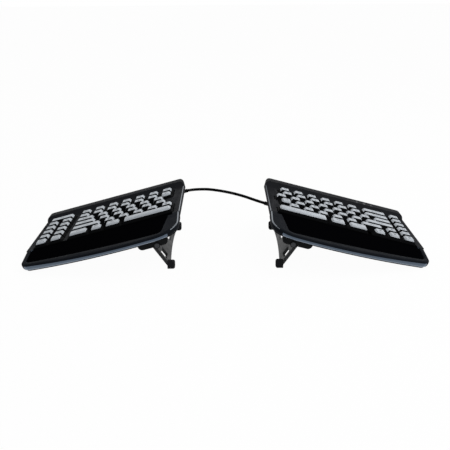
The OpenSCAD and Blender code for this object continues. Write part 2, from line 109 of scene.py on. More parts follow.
# %% [markdown]
# ## The frame of a half
# Each half is drawn flat: u runs outward from its inner edge, v to the back, w up from the bezel.
# One matrix tents it and sets it on the desk, and the left half is its mirror image. A mirror
# turns faces inside out, so the move reverses them, on the way in and on the way out.

# %% Half frame
TENT = math.radians(15)
HALF_GAP, MIDDLE_V, LIFT = 56.4 * MM, 29.9077 * MM, 63.9922 * MM
HALF_W, V_SPLIT, KEY_BACK, BACK_V = 197.975 * MM, -13.025 * MM, 104.775 * MM, 137.775 * MM
SIDES = {"left": -1, "right": 1}


def half_place(side):
    """Where a half stands, as a matrix from its flat frame."""
    place = Matrix.Translation((HALF_GAP, -MIDDLE_V, LIFT)) @ Matrix.Rotation(TENT, 4, "Y")
    return place if side > 0 else Matrix.Scale(-1, 4, (1, 0, 0)) @ place


def move(shape, place):
    """Moves a mesh, and keeps its faces pointing outwards if the move mirrors it."""
    shape.transform(place)
    if place.determinant() < 0:
        bmesh.ops.reverse_faces(shape, faces=shape.faces)
    shape.normal_update()


print("inner edge of the right half", tuple(round(c, 4) for c in half_place(1).translation))

# %% [markdown]
# ## Shared surface effects
# Moulded plastic is never one even colour. Its mould leaves a fine grain, handling leaves soft
# patches of more and less gloss, and edges rub paler; on the case the paler edges are strong enough
# to be a painted highlight too. Two node groups give these effects to every finish: one reads noise on
# Object coordinates, the other compares the normal with a rounded one, which differs only near edges.

# %% Surface effects
def effect(name, inputs, outputs):
    """An empty node group with named values in and out."""
    tree = bpy.data.node_groups.new(name, "ShaderNodeTree")
    for label, value in inputs.items():
        socket = tree.interface.new_socket(name=label, in_out="INPUT", socket_type="NodeSocketFloat")
        socket.default_value = value
    for label in outputs:
        tree.interface.new_socket(name=label, in_out="OUTPUT", socket_type="NodeSocketFloat")
    return tree, tree.nodes.new("NodeGroupInput"), tree.nodes.new("NodeGroupOutput")


def wire(tree, node, links):
    """Sets inputs of a node to values, or joins them to sockets."""
    for label, value in links.items():
        if isinstance(value, bpy.types.NodeSocket):
            tree.links.new(value, node.inputs[label])
        else:
            node.inputs[label].default_value = value


def add(tree, kind, links=None, **settings):
    """A new node with its settings and its inputs."""
    node = tree.nodes.new(kind)
    for label, value in settings.items():
        setattr(node, label, value)
    wire(tree, node, links or {})
    return node


skin, into, out = effect("moulded_skin", {"Grain Scale": 2500, "Patch Scale": 60}, ("Grain", "Patches"))
where = add(skin, "ShaderNodeTexCoord").outputs["Object"]
fine = add(skin, "ShaderNodeTexNoise", {"Vector": where, "Scale": into.outputs["Grain Scale"], "Detail": 2.0})
broad = add(skin, "ShaderNodeTexNoise", {"Vector": where, "Scale": into.outputs["Patch Scale"], "Detail": 4.0,
                                         "Roughness": 0.6})
wire(skin, out, {"Grain": fine.outputs[0], "Patches": broad.outputs[0]})

rub, into, out = effect("edge_rub", {"Width": 0.6 * MM, "Break Scale": 300}, ("Rub",))
round_normal = add(rub, "ShaderNodeBevel", {"Radius": into.outputs["Width"]}, samples=6)
true_normal = add(rub, "ShaderNodeNewGeometry").outputs["Normal"]
dot = add(rub, "ShaderNodeVectorMath", {0: round_normal.outputs[0], 1: true_normal}, operation="DOT_PRODUCT")
where = add(rub, "ShaderNodeTexCoord").outputs["Object"]
chips = add(rub, "ShaderNodeTexNoise", {"Vector": where, "Scale": into.outputs["Break Scale"], "Detail": 3.0})
bare = add(rub, "ShaderNodeMapRange", {"Value": dot.outputs["Value"], "From Min": 0.995, "From Max": 0.9,
                                       "To Min": 0.0, "To Max": 1.0})
broken = add(rub, "ShaderNodeMath", {0: bare.outputs[0], 1: chips.outputs[0]}, operation="MULTIPLY")
wire(rub, out, {"Rub": broken.outputs[0]})
print("effects", [g.name for g in bpy.data.node_groups])

# %% [markdown]
# ## Moulded finishes
# The case, the keys and the lifters are all moulded plastic or rubber with different colour, gloss
# and grain. One recipe makes them: two tones mixed by the soft patches, a paler tone at edges that is
# rubbed wear and, where strong, a painted highlight, gloss that follows the patches, and the grain as
# a bump. The lighter, glossier copies that are partly painted highlights get a tinted lacquer.

# %% Moulded finishes
def start(name):
    """A new material, its node tree and its shader."""
    finish = bpy.data.materials.new(name)
    finish.use_nodes = True
    return finish, finish.node_tree, finish.node_tree.nodes["Principled BSDF"]


def mixed(tree, factor, a, b):
    """The colour output of a mix between two colours or sockets."""
    return add(tree, "ShaderNodeMix", {0: factor, 6: a, 7: b}, data_type="RGBA").outputs[2]


def tone(colour, share):
    """A colour made lighter or darker, with its alpha."""
    return (*[c * share for c in colour], 1)


def gloss_and_bump(tree, shader, patches, low, high, height, strength, depth):
    """Joins gloss that follows patches, and a bump, to a shader."""
    gloss = add(tree, "ShaderNodeMapRange", {"Value": patches, "From Min": 0.3, "From Max": 0.7,
                                             "To Min": low, "To Max": high})
    bump = add(tree, "ShaderNodeBump", {"Height": height, "Strength": strength, "Distance": depth})
    wire(tree, shader, {"Roughness": gloss.outputs[0], "Normal": bump.outputs[0]})


def skin_of(tree, shader, grain, patches, rough, spread, relief):
    """Grain and patches on a shader: gloss that varies, and a fine bump. Returns the patches."""
    surface = add(tree, "ShaderNodeGroup", {"Grain Scale": grain, "Patch Scale": patches}, node_tree=skin)
    gloss_and_bump(tree, shader, surface.outputs["Patches"], rough - spread, rough + spread,
                   surface.outputs["Grain"], relief, 0.1 * MM)
    return surface.outputs["Patches"]


def moulded(name, colour, rough, spread=0.07, grain=2500, patches=60, relief=0.25, wear_and_edge_light=2.5,
            rub_width=0.5 * MM, shine=0.35, lacquer=None):
    """A moulded plastic or rubber, with a tinted lacquer on top if one is named."""
    finish, tree, shader = start(name)
    spots = skin_of(tree, shader, grain, patches, rough, spread, relief)
    edges = add(tree, "ShaderNodeGroup", {"Width": rub_width}, node_tree=rub)
    body_tone = mixed(tree, spots, tone(colour, 0.8), tone(colour, 1.2))
    # The paler edge tone is rubbed wear, and where its share is high, as on the case, a painted highlight.
    rubbed = mixed(tree, edges.outputs["Rub"], body_tone, tone(colour, wear_and_edge_light))
    wire(tree, shader, {"Base Color": rubbed, "Specular IOR Level": shine})
    if lacquer:
        tint = tone(lacquer, 1)
        wire(tree, shader, {"Specular Tint": tint, "Coat Weight": 1.0, "Coat Roughness": rough, "Coat Tint": tint})
    return finish


print("recipe reads", skin.name, "and", rub.name)

# %% [markdown]
# ## Colours of the moulded parts
# The case is a bluish black and the flap is dark grey. The caps are silver where light falls on them
# and black where shade falls, as painted light and shade. Rubber is dull, and the domes are milky
# silicone. One black could serve for most of them, but small differences in colour and gloss keep the
# pieces apart under soft light. The lip and the inner edge get lighter, glossier blacks that are partly
# painted highlights, and the strip between keys and pad a darker one that is painted shade.

# %% Colours of the moulded parts
# The case's strong paler edge tone is partly rubbed wear and partly a painted highlight on its edges.
case_finish = moulded("case_black", (0.0045, 0.005, 0.0068), 0.72, wear_and_edge_light=7.0, shine=0.08)
# A darker black for the strip between keys and pad, which lies in shade: painted shade.
strip_shade_finish = moulded("strip_painted_shade", (0.0012, 0.0012, 0.0015), 0.85, wear_and_edge_light=1.5, shine=0.0)
palm_finish = moulded("palm_black", (0.0035, 0.0046, 0.007), 0.72, wear_and_edge_light=2.0, shine=0.05)
# A lighter, bluer, glossier black for the palm rest's front edge: gloss as a finish, the lighter colour a painted
# highlight.
lip_highlight_finish = moulded("palm_lip_gloss_painted_highlight", (0.012, 0.015, 0.021), 0.3, wear_and_edge_light=1.5, relief=0.1, shine=1.0,
                     lacquer=(0.66, 0.82, 1.0))
# A lighter, glossier black for the inner rounding: the gloss is a finish, the lighter colour a painted highlight.
edge_highlight_finish = moulded("case_edge_gloss_painted_highlight", (0.012, 0.0125, 0.014), 0.32, wear_and_edge_light=1.5, relief=0.1, shine=1.0,
                      lacquer=(0.85, 0.92, 1.0))
tray_finish = moulded("tray_black", (0.003, 0.0032, 0.004), 0.7, relief=0.4, shine=0.08)
plate_finish = moulded("guide_plate_black", (0.0022, 0.0023, 0.0028), 0.75, shine=0.05)
# Silver is painted light on the caps' lit faces; the black below is painted shade on their shaded faces.
cap_lit_silver_finish = moulded("cap_silver_painted_light", (0.44, 0.475, 0.515), 0.42, 0.05, grain=5000, relief=0.12,
                         wear_and_edge_light=1.15, shine=0.4)
cap_shaded_black_finish = moulded("cap_black_painted_shade", (0.0018, 0.0019, 0.0023), 0.7, grain=3500, wear_and_edge_light=3.0,
                          shine=0.03)
legend_finish = moulded("legend_black", (0.012, 0.012, 0.013), 0.55, wear_and_edge_light=1.2, shine=0.3)
label_finish = moulded("label_grey", (0.14, 0.15, 0.16), 0.6, wear_and_edge_light=1.1, shine=0.1)
lifter_finish = moulded("lifter_black", (0.003, 0.0033, 0.004), 0.6, wear_and_edge_light=5.0, shine=0.1)
flap_finish = moulded("flap_grey", (0.017, 0.0178, 0.019), 0.5, wear_and_edge_light=2.0, shine=0.2)
rubber_finish = moulded("foot_rubber", (0.009, 0.0093, 0.011), 0.8, relief=0.5, shine=0.1, wear_and_edge_light=1.6)
gland_finish = moulded("gland_rubber", (0.004, 0.004, 0.0045), 0.75, relief=0.4, shine=0.08)
jacket_finish = moulded("cable_jacket", (0.002, 0.002, 0.0023), 0.8, grain=1800, relief=0.3, shine=0.04)
dome_finish = moulded("dome_silicone", (0.55, 0.53, 0.46), 0.6, wear_and_edge_light=1.05, shine=0.4)
print("moulded finishes", len(bpy.data.materials))

# %% [markdown]
# ## Steel
# The hinge pins, the screws and the sheets under the keys are steel, whose gloss follows fine
# streaks. A picture could show the streaks, but stretched noise needs none and fits every size.

# %% Steel
def streaked_steel(name, colour, rough, stretch):
    """Drawn steel with streaks along one axis."""
    finish, tree, shader = start(name)
    where = add(tree, "ShaderNodeTexCoord").outputs["Object"]
    drawn = add(tree, "ShaderNodeMapping", {"Vector": where, "Scale": stretch})
    noise = add(tree, "ShaderNodeTexNoise", {"Vector": drawn.outputs[0], "Scale": 1.0, "Detail": 4.0})
    streak = noise.outputs[0]
    gloss_and_bump(tree, shader, streak, rough - 0.1, rough + 0.12, streak, 0.15, 0.05 * MM)
    metal = mixed(tree, streak, tone(colour, 0.8), tone(colour, 1.1))
    wire(tree, shader, {"Base Color": metal, "Metallic": 1.0})
    return finish


pin_finish = streaked_steel("pin_steel", (0.05, 0.052, 0.056), 0.45, (3000, 40, 3000))
screw_finish = streaked_steel("screw_steel", (0.42, 0.43, 0.45), 0.35, (900, 900, 900))
sheet_finish = streaked_steel("sheet_steel", (0.5, 0.51, 0.53), 0.38, (1500, 60, 1500))
print("steels", pin_finish.name, screw_finish.name, sheet_finish.name)

# %% [markdown]
# ## Printed sheets
# The contact foil and the controller board carry printed tracks. They are hardly seen, so a brick
# pattern stands for the tracks, instead of lines that are drawn one by one.

# %% Printed sheets
def tracked(name, ground, track, width, height, rough):
    """A sheet with printed tracks on it."""
    finish, tree, shader = start(name)
    spots = skin_of(tree, shader, 3000, 80, rough, 0.06, 0.1)
    where = add(tree, "ShaderNodeTexCoord").outputs["Object"]
    lines = add(tree, "ShaderNodeTexBrick", {"Vector": where, "Scale": 1.0, "Mortar Size": 0.4 * MM,
                                             "Brick Width": width, "Row Height": height})
    base = mixed(tree, spots, tone(ground, 0.85), tone(ground, 1.15))
    wire(tree, shader, {"Base Color": mixed(tree, lines.outputs["Fac"], base, tone(track, 1))})
    return finish


foil_finish = tracked("contact_foil", (0.32, 0.40, 0.36), (0.12, 0.13, 0.14), 19.05 * MM, 6.35 * MM, 0.3)
board_finish = tracked("board_laminate", (0.012, 0.10, 0.045), (0.30, 0.20, 0.08), 7 * MM, 2 * MM, 0.4)
print("printed sheets", foil_finish.name, board_finish.name)

# %% [markdown]
# ## Pad cover and light pipes
# The palm pad has a dull knitted cover, so its shader has a weave bump, made with two crossed waves,
# and no shine. The light pipes are smoked, so that they stay dark until they are lit.

# %% Pad cover and light pipes
def knitted(name, colour, pitch):
    """A matt knitted cover on soft foam."""
    finish, tree, shader = start(name)
    where = add(tree, "ShaderNodeTexCoord").outputs["Object"]
    waves = [add(tree, "ShaderNodeTexWave", {"Vector": where, "Scale": 0.314 / pitch, "Distortion": 0.6},
                 bands_direction=axis).outputs["Fac"] for axis in ("X", "Y")]
    weave = add(tree, "ShaderNodeMath", {0: waves[0], 1: waves[1]}, operation="MULTIPLY").outputs[0]
    patch = add(tree, "ShaderNodeTexNoise", {"Vector": where, "Scale": 45.0, "Detail": 4.0}).outputs[0]
    cover = mixed(tree, weave, tone(colour, 0.7), tone(colour, 1.3))
    gloss_and_bump(tree, shader, patch, 0.82, 0.95, weave, 0.3, 0.1 * MM)
    dusty = mixed(tree, patch, cover, tone(colour, 0.9))
    wire(tree, shader, {"Base Color": dusty, "Specular IOR Level": 0.0})
    return finish


pad_finish = knitted("pad_cover", (0.0012, 0.0012, 0.0017), 0.9 * MM)
pipe_finish, tree, shader = start("light_pipe_clear")
skin_of(tree, shader, 1500, 200, 0.2, 0.08, 0.05)
wire(tree, shader, {"Base Color": (0.03, 0.035, 0.04, 1), "Transmission Weight": 0.5})
print("finishes", len(bpy.data.materials))

# %% [markdown]
# ## Link cable
# One round cable runs from a gland on the left half's inner side, up over the gap and down to a
# gland on the right half. It is held at both ends only and is stiff enough to arch. Its route could
# be simulated, but it is in plain view, so a smooth line through a few chosen points gives it.

# %% Route of the link cable
CABLE_POINTS = [Vector(p) * MM for p in (
    (-51.5264, 92.0923, 55.4629), (-40, 90, 57.3), (-24, 84.5, 58.8), (-8, 73.5, 59.6), (9, 58.5, 60),
    (25, 41.5, 59.8), (40, 27, 58.1), (51.5264, 22.0923, 55.4629))]


def smooth_route(points, steps):
    """A smooth line through points, several steps to a span."""
    line, last = [], len(points) - 1
    for i in range(last):
        a, b, c, d = points[max(i - 1, 0)], points[i], points[i + 1], points[min(i + 2, last)]
        for f in (s / steps for s in range(steps)):
            line.append((2 * b + (c - a) * f + (2 * a - 5 * b + 4 * c - d) * f * f
                         + (3 * b - a - 3 * c + d) * f * f * f) / 2)
    return line + [points[last]]


cable_line = smooth_route(CABLE_POINTS, 5)

# %% [markdown]
# ## Cable jacket
# The jacket is a plain round tube. Rings could be swept along the route by hand, but the round bevel
# of a curve does that, and the curve is then made a mesh.

# %% Cable jacket
CABLE_R, HAIR = 1.9 * MM, 0.001 * MM


def tube(name, line, radius):
    """A round tube with closed ends along a line of points."""
    curve = bpy.data.curves.new(name, "CURVE")
    curve.dimensions = "3D"
    curve.bevel_depth = radius
    curve.bevel_resolution = 5
    curve.use_fill_caps = True
    spline = curve.splines.new("POLY")
    spline.points.add(len(line) - 1)
    for point, place in zip(spline.points, line):
        point.co = (*place, 1)
    holder = bpy.data.objects.new(name + "_line", curve)
    shape = bmesh.new()
    shape.from_mesh(bpy.data.meshes.new_from_object(holder))
    bpy.data.objects.remove(holder)
    bmesh.ops.remove_doubles(shape, verts=shape.verts, dist=HAIR)
    bmesh.ops.recalc_face_normals(shape, faces=shape.faces)
    return shape


def mesh_of(shape, name="part"):
    """A stored mesh of a shape, which is freed."""
    mesh = bpy.data.meshes.new(name)
    shape.to_mesh(mesh)
    shape.free()
    return mesh


def finished(name, shape, finishes, crease=38):
    """An object of a shape: smooth, with sharp edges kept."""
    mesh = mesh_of(shape, name)
    for finish in finishes:
        mesh.materials.append(finish)
    mesh.shade_smooth()
    mesh.set_sharp_from_angle(angle=math.radians(crease))
    return placed(name, mesh)


jacket = tube("link_cable", smooth_route(CABLE_POINTS, 10), CABLE_R)
cable = finished("link_cable_jacket", jacket, [jacket_finish], 50)
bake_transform(cable)
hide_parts("link_cable")
print("jacket", len(cable.data.polygons), "faces")

# %% [markdown]
# ## Cable glands
# A moulded strain relief grips the cable where it enters a half: a collar on the wall, then ribs
# that get smaller towards the mouth. It is a turned shape, so a half profile is spun about its
# axis. The same profile, shorter, serves where the host lead would leave the left half's back.
# Like every finished piece, a gland has its place in its mesh and rides on a body.

# %% Glands
def spun(profile, segments=24):
    """A closed turned shape from (along, radius) points, about the x axis."""
    shape = bmesh.new()
    verts = [shape.verts.new((x, 0, r)) for x, r in profile]
    edges = [shape.edges.new(pair) for pair in zip(verts, verts[1:])]
    bmesh.ops.spin(shape, geom=verts + edges, cent=(0, 0, 0), axis=(1, 0, 0), angle=math.tau, steps=segments,
                   use_merge=True)
    bmesh.ops.remove_doubles(shape, verts=shape.verts, dist=HAIR)
    bmesh.ops.recalc_face_normals(shape, faces=shape.faces)
    return shape


def ribbed(length, ribs, mouth):
    """A gland's profile in mm: from inside the wall, over a collar and ribs, to the mouth."""
    line = [(0, 0), (0, 2.7), (2, 2.7), (2, 3.4), (3, 3.4), (3.2, 2.6)]
    step = (length - 3.6) / ribs
    for k in range(ribs):
        x, r = 3.4 + k * step, 2.75 - 0.2 * k / ribs
        line += [(x, r - 0.55), (x + 0.25 * step, r - 0.5), (x + 0.4 * step, r),
                 (x + 0.85 * step, r), (x + step, r - 0.5)]
    line += [(length - 0.1, 2.3), (length, 2.1)] + mouth
    return [(x * MM, r * MM) for x, r in line]


def piece(name, shape, body, finishes, stands_for=(), crease=38):
    """A finished object on its body, in the place of the solids it stands for."""
    made = finished(name, shape, finishes, crease)
    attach(made, body)
    if stands_for:
        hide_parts(*stands_for)
    return made


GLAND_IN, GLAND_W = 6.5 * MM, -9.5 * MM
GLAND_V = {"left": 122 * MM, "right": 52 * MM}
for name, side in SIDES.items():
    gland = spun(ribbed(9, 4, [(9, 0)]))
    wall = Matrix.Translation((GLAND_IN, GLAND_V[name], GLAND_W)) @ Matrix.Rotation(math.pi, 4, "Z")
    move(gland, half_place(side) @ wall)
    piece(name + "_ribbed_gland", gland, name + "_half", [gland_finish], [name + "_cable_gland"])
host = spun(ribbed(6.5, 2, [(6.5, 1.9), (1, 1.9), (1, 0)]))
back_wall = Matrix.Translation((HALF_W / 2, BACK_V - GLAND_IN, GLAND_W)) @ Matrix.Rotation(math.pi / 2, 4, "Z")
move(host, half_place(-1) @ back_wall)
piece("left_host_ribbed_gland", host, "left_half", [gland_finish], ["left_host_gland"])

# %% [markdown]
# ## Copies of the solids
# A solid of the frame is a heap of loose triangles. A copy of it is welded, and flat areas become
# single faces again, so that edges can be chosen and rounded as on a bench.

# %% Copies of the solids
WELD, FLAT = 0.002 * MM, math.radians(0.3)


def cad_copy(node):
    """A welded copy of a solid with its flat areas joined."""
    shape = bmesh.new()
    shape.from_mesh(frame["nodes"][node].data)
    bmesh.ops.remove_doubles(shape, verts=shape.verts, dist=WELD)
    bmesh.ops.dissolve_limit(shape, angle_limit=FLAT, verts=shape.verts, edges=shape.edges)
    shape.normal_update()
    return shape


def sharp_edges(shape, test=None, least=30):
    """Outward edges that turn by more than some degrees and pass a test."""
    turn = math.radians(least)
    return [e for e in shape.edges if e.is_manifold and e.is_convex and e.calc_face_angle(0) > turn
            and (test is None or test(e))]


def soften(shape, edges, width, segments=2):
    """Rounds edges over a width in metres."""
    bmesh.ops.bevel(shape, geom=edges, offset=width, offset_type="OFFSET", segments=segments, profile=0.5,
                    affect="EDGES", clamp_overlap=True, loop_slide=True, material=-1)


sample = cad_copy("right_top_case")
print("top case", len(sample.faces), "faces", len(sharp_edges(sample)), "sharp edges")
sample.free()

# %% [markdown]
# ## Painted highlight on the inner edge and painted shade on the strip
# The rounding along each half's inner edge, which looks up and towards the other half, is glossier and
# lighter than the case and shows as a thin light line: the gloss is a finish, the lighter colour a painted
# highlight. The strip between the keys and the pad lies in shade and is painted a darker black, as
# painted shade, on the case and on the palm rest. Both could be pieces of their own, but they are only
# finishes, so tests choose the faces, and straight cuts give the strip its own faces.

# %% Painted highlight on the inner edge and painted shade on the strip
HIGHLIGHT_IN, HIGHLIGHT_TOP = 8 * MM, 0.2 * MM
SEAM_END, SEAM_FRONT, SEAM_BACK = 8.5 * MM, V_SPLIT - 5.6 * MM, V_SPLIT + 3.5 * MM


def is_highlit_rounding(face, least):
    """Whether a face is on the rounding that looks up and towards the other half, where the highlight is painted.
    """
    n, m = face.normal, face.calc_center_median()
    return n.x < -0.3 and n.z > least and m.x < HIGHLIGHT_IN and m.z < HIGHLIGHT_TOP


def cut_along(shape, at, way, **settings):
    """Cuts all faces of a mesh along a plane."""
    bmesh.ops.bisect_plane(shape, geom=[*shape.verts, *shape.edges, *shape.faces], dist=HAIR,
                           plane_co=at, plane_no=way, **settings)


def on_seam(face):
    """Whether a face shows on the strip between the keys and the pad."""
    m = face.calc_center_median()
    shows = max(face.normal.z, -face.normal.y) > 0.9
    return shows and SEAM_END < m.x < HALF_W - SEAM_END and SEAM_FRONT < m.y < SEAM_BACK


def mark_seam(shape, finish):
    """Gives the strip between the keys and the pad its own faces and the darker finish that paints its shade."""
    for u in (SEAM_END, HALF_W - SEAM_END):
        cut_along(shape, (u, 0, 0), (1, 0, 0))
    for v in (SEAM_FRONT, SEAM_BACK):
        cut_along(shape, (0, v, 0), (0, 1, 0))
    shape.normal_update()
    # The strip's faces get the darker finish, painted shade.
    for face in filter(on_seam, shape.faces):
        face.material_index = finish


print("strip", round((SEAM_BACK - SEAM_FRONT) / MM, 1), "mm wide")

# %% [markdown]
# ## Cases
# The top case is one thin moulding whose outer edge is well rounded, while the edges of the key
# well are only broken. Both could be modelled by hand, but a copy of the solid with two widths of
# bevel keeps every opening where the keys need it. The inner edge is rounded by itself first, so
# that short edges elsewhere don't hold its bevel back.

# %% Cases
INNER_ROUND, RIM_ROUND, WELL_BREAK, TRAY_ROUND = 1.5 * MM, 1.6 * MM, 0.4 * MM, 1.2 * MM
LONG_EDGE, TRAY_EDGE, TRAY_UNDER, TOUCH = 20 * MM, 2 * MM, -13.9 * MM, 0.1 * MM
WELL_IN, WELL_FRONT, WELL_BACK = 4 * MM, V_SPLIT - 1 * MM, KEY_BACK + 2 * MM
CASE_HIGHLIGHT_UP = 0.25


def on_deck(e):
    """Whether an edge is on the bezel's top or above it."""
    return min(v.co.z for v in e.verts) > -0.2 * MM


def in_well(e):
    """Whether an edge is on the opening for the keys."""
    m = (e.verts[0].co + e.verts[1].co) / 2
    return WELL_IN < m.x < HALF_W - WELL_IN and WELL_FRONT < m.y < WELL_BACK


def on_inner_edge(e):
    """Whether an edge is on the long side that faces the other half."""
    return on_deck(e) and max(v.co.x for v in e.verts) < TOUCH and e.calc_length() > LONG_EDGE


def on_rim(e):
    """Whether an edge is on the bezel's outside, but not where the palm rest joins it."""
    return on_deck(e) and not in_well(e) and max(v.co.y for v in e.verts) > V_SPLIT + TOUCH


for name, side in SIDES.items():
    top = cad_copy(name + "_top_case")
    move(top, half_place(side).inverted())
    soften(top, sharp_edges(top, on_inner_edge), INNER_ROUND, 4)
    rims = sharp_edges(top, on_rim)
    soften(top, rims, RIM_ROUND, 4)
    soften(top, sharp_edges(top, lambda e: on_deck(e) and in_well(e)), WELL_BREAK, 2)
    top.normal_update()
    # Faces on the inner rounding get the lighter edge finish, a painted highlight.
    for face in top.faces:
        face.material_index = 1 if is_highlit_rounding(face, CASE_HIGHLIGHT_UP) else 0
    highlit_faces = sum(face.material_index for face in top.faces)
    mark_seam(top, 2)
    move(top, half_place(side))
    piece(name + "_bezel", top, name + "_half", [case_finish, edge_highlight_finish, strip_shade_finish],
          [name + "_top_case"])
    tray = cad_copy(name + "_bottom_case")
    move(tray, half_place(side).inverted())
    soften(tray, sharp_edges(tray, lambda e: max(v.co.z for v in e.verts) < TRAY_UNDER
                             and e.calc_length() > TRAY_EDGE), TRAY_ROUND, 3)
    move(tray, half_place(side))
    piece(name + "_tray", tray, name + "_half", [tray_finish], [name + "_bottom_case"])
    print(name, "rims", len(rims), "highlit_faces", highlit_faces)

# %% [markdown]
# ## Palm rests
# The palm rest falls gently to a bowed, rounded front edge. Its solid already has that form in
# narrow facets, so a welded copy with smooth shading is enough, and only real corners stay sharp.
# The front edge is glossier and lighter than the top, and so is the rounding on the inner side: the gloss is a
# finish, the lighter colour a painted highlight.

# %% Palm rests
PALM_HIGHLIGHT_UP, LIP_UP, LIP_AHEAD = 0.6, 0.1, 0.75
for name, side in SIDES.items():
    palm = cad_copy(name + "_palm_rest")
    move(palm, half_place(side).inverted())
    # Forward-looking faces get the lighter lip finish and the inner rounding the lighter edge finish, both partly
    # painted highlights.
    for face in palm.faces:
        n = face.normal
        lip = n.z < LIP_UP and n.y < -LIP_AHEAD * math.hypot(n.x, n.y)
        face.material_index = 1 if lip else 2 if is_highlit_rounding(face, PALM_HIGHLIGHT_UP) else 0
    mark_seam(palm, 3)
    move(palm, half_place(side))
    piece(name + "_palm_shell", palm, name + "_half",
          [palm_finish, lip_highlight_finish, edge_highlight_finish, strip_shade_finish], [name + "_palm_rest"], 35)

# %% [markdown]
# ## Palm pads
# Each pad is foam under a knitted cover, glued into the palm rest's recess. It could be a plain
# crowned lid, but a real cover is pulled tight at its edge and swells in the middle. The pad is laid
# level and remeshed evenly first, so that its cover can swell evenly.

# %% Foam of the palm pads
PALM_FALL, PAD_VOXEL = math.radians(5.5), 0.8 * MM


def evaluated_copy(made):
    """The mesh of an object with its modifiers applied, as a new datablock."""
    graph = bpy.context.evaluated_depsgraph_get()
    return bpy.data.meshes.new_from_object(made.evaluated_get(graph))


level = (Matrix.Translation((0, V_SPLIT, 0)) @ Matrix.Rotation(PALM_FALL, 4, "X")
         @ Matrix.Translation((0, -V_SPLIT, 0)))
pad_shape = cad_copy("right_palm_pad")
move(pad_shape, (half_place(1) @ level).inverted())
bmesh.ops.triangulate(pad_shape, faces=pad_shape.faces)
foam = placed("pad_foam", mesh_of(pad_shape, "pad_foam"))
even = foam.modifiers.new("even_skin", "REMESH")
even.mode = "VOXEL"
even.voxel_size = PAD_VOXEL
foam.data = evaluated_copy(foam)
foam.modifiers.clear()
glued = foam.vertex_groups.new(name="glued")
glued.add([v.index for v in foam.data.vertices if v.normal.z < 0.9], 1.0, "REPLACE")
rest = [v.co.copy() for v in foam.data.vertices]
print("pad foam", len(rest), "points,", len(foam.data.polygons), "faces")

# %% [markdown]
# ## Swelling of the pads
# The foam is inflated a little with Cloth while its sides and underside are held. The swelling is
# then scaled to its real height, and the same pad is mirrored for the left half.

# %% Swelling of the pads
PAD_SWELL, PRESSURE, LAST_FRAME = 0.7 * MM, 4, 20
cover = foam.modifiers.new("cover", "CLOTH")
cover.settings.use_pressure = True
cover.settings.uniform_pressure_force = PRESSURE
cover.settings.vertex_group_mass = "glued"
cover.settings.effector_weights.gravity = 0
cover.point_cache.frame_start, cover.point_cache.frame_end = 1, LAST_FRAME
for number in range(1, LAST_FRAME + 1):
    bpy.context.scene.frame_set(number)
swollen = [v.co.copy() for v in evaluated_copy(foam).vertices]
foam.modifiers.clear()
bpy.context.scene.frame_set(1)
most = max(b.z - a.z for a, b in zip(rest, swollen))
share = PAD_SWELL / max(most, PAD_SWELL)
for v, a, b in zip(foam.data.vertices, rest, swollen):
    v.co = a + Vector((0, 0, max(b.z - a.z, 0) * share))
print("cover rose by", round(most * 1000, 2), "mm, kept", round(share, 2))
for name, side in SIDES.items():
    pad = bmesh.new()
    pad.from_mesh(foam.data)
    move(pad, half_place(side) @ level)
    made = piece(name + "_soft_pad", pad, name + "_half", [pad_finish], [name + "_palm_pad"], 180)
bpy.data.objects.remove(foam)
print("soft pads", len(SIDES))

# %% [markdown]
# ## Key caps
# A key is a hollow tapered cap on a square post. Its top is a shallow scoop for the fingertip, and a
# space bar is crowned for the thumb instead. The solid's copy keeps the hollow and the post, and its
# walls are drawn in towards the top. A new cap could be modelled, but it would have to fit them too.

# %% Form of the caps
CAP_TOP, SKIRT = 6 * MM, -1.5 * MM
SCOOP, CROWN, SCOOP_HALF = 0.5 * MM, 0.45 * MM, 6.3 * MM
DRAWN_U, DRAWN_V, EDGE_BAND = 1.8 * MM, 1.5 * MM, 2 * MM


def cap_form(crowned, half_u, half_v, du, dv):
    """Height of a cap's top over its flat, at a place from its middle."""
    if crowned:
        return CROWN * (1 - (dv / half_v) ** 2)
    return -SCOOP * (1 - (du / half_u) ** 2) * min(1, SCOOP_HALF / half_u)


def cap_at(spot, places):
    """The cap that a place on the mesh belongs to."""
    return min(places, key=lambda p: max(abs(spot.x - p[0]) - p[2], 0) + abs(spot.y - p[1]))


def top_place(top):
    """The middle and the half sizes of a cap's flat top."""
    us, vs = [v.co.x for v in top.verts], [v.co.y for v in top.verts]
    u0, u1, v0, v1 = min(us), max(us), min(vs), max(vs)
    return (u0 + u1) / 2, (v0 + v1) / 2, (u1 - u0) / 2, (v1 - v0) / 2


def draw_in(caps, places):
    """Draws the caps' walls in towards their tops, not their posts, and returns the tops' new sizes."""
    for v in caps.verts:
        place = cap_at(v.co, places)
        share = min(max(v.co.z / CAP_TOP, 0), 1)
        du, dv = v.co.x - place[0], v.co.y - place[1]
        v.co.x -= math.copysign(DRAWN_U * share, du) if abs(du) > place[2] - EDGE_BAND else 0
        v.co.y -= math.copysign(DRAWN_V * share, dv) if abs(dv) > place[3] - EDGE_BAND else 0
    return [(u, v, half_u - DRAWN_U, half_v - DRAWN_V) for u, v, half_u, half_v in places]


print("scoop", round(SCOOP / MM, 2), "mm deep, crown", round(CROWN / MM, 2), "mm high")

# %% [markdown]
# ## Painted light and shade on the caps
# A cap's top and the upper part of its outer flanks, which the light falls on, are painted silver, and
# the rest, which lies in shade, is painted black. Where no other key stands in front of a cap, its front
# is lit, so the silver painted light also runs over its rounded front edge. The finish is chosen face by
# face, so a cap stays one closed mesh.

# %% Painted light and shade on the caps
ROW_REACH, FRONT_END, FLANK_END = 6 * MM, 3.4 * MM, 3.0 * MM
TOP_BAND = 1.4 * MM
# Innermost caps of these sets have fronts that nothing hides, so the silver painted light runs over them.
OPEN_FRONTS = ("left_number_keys", "right_home_keys")


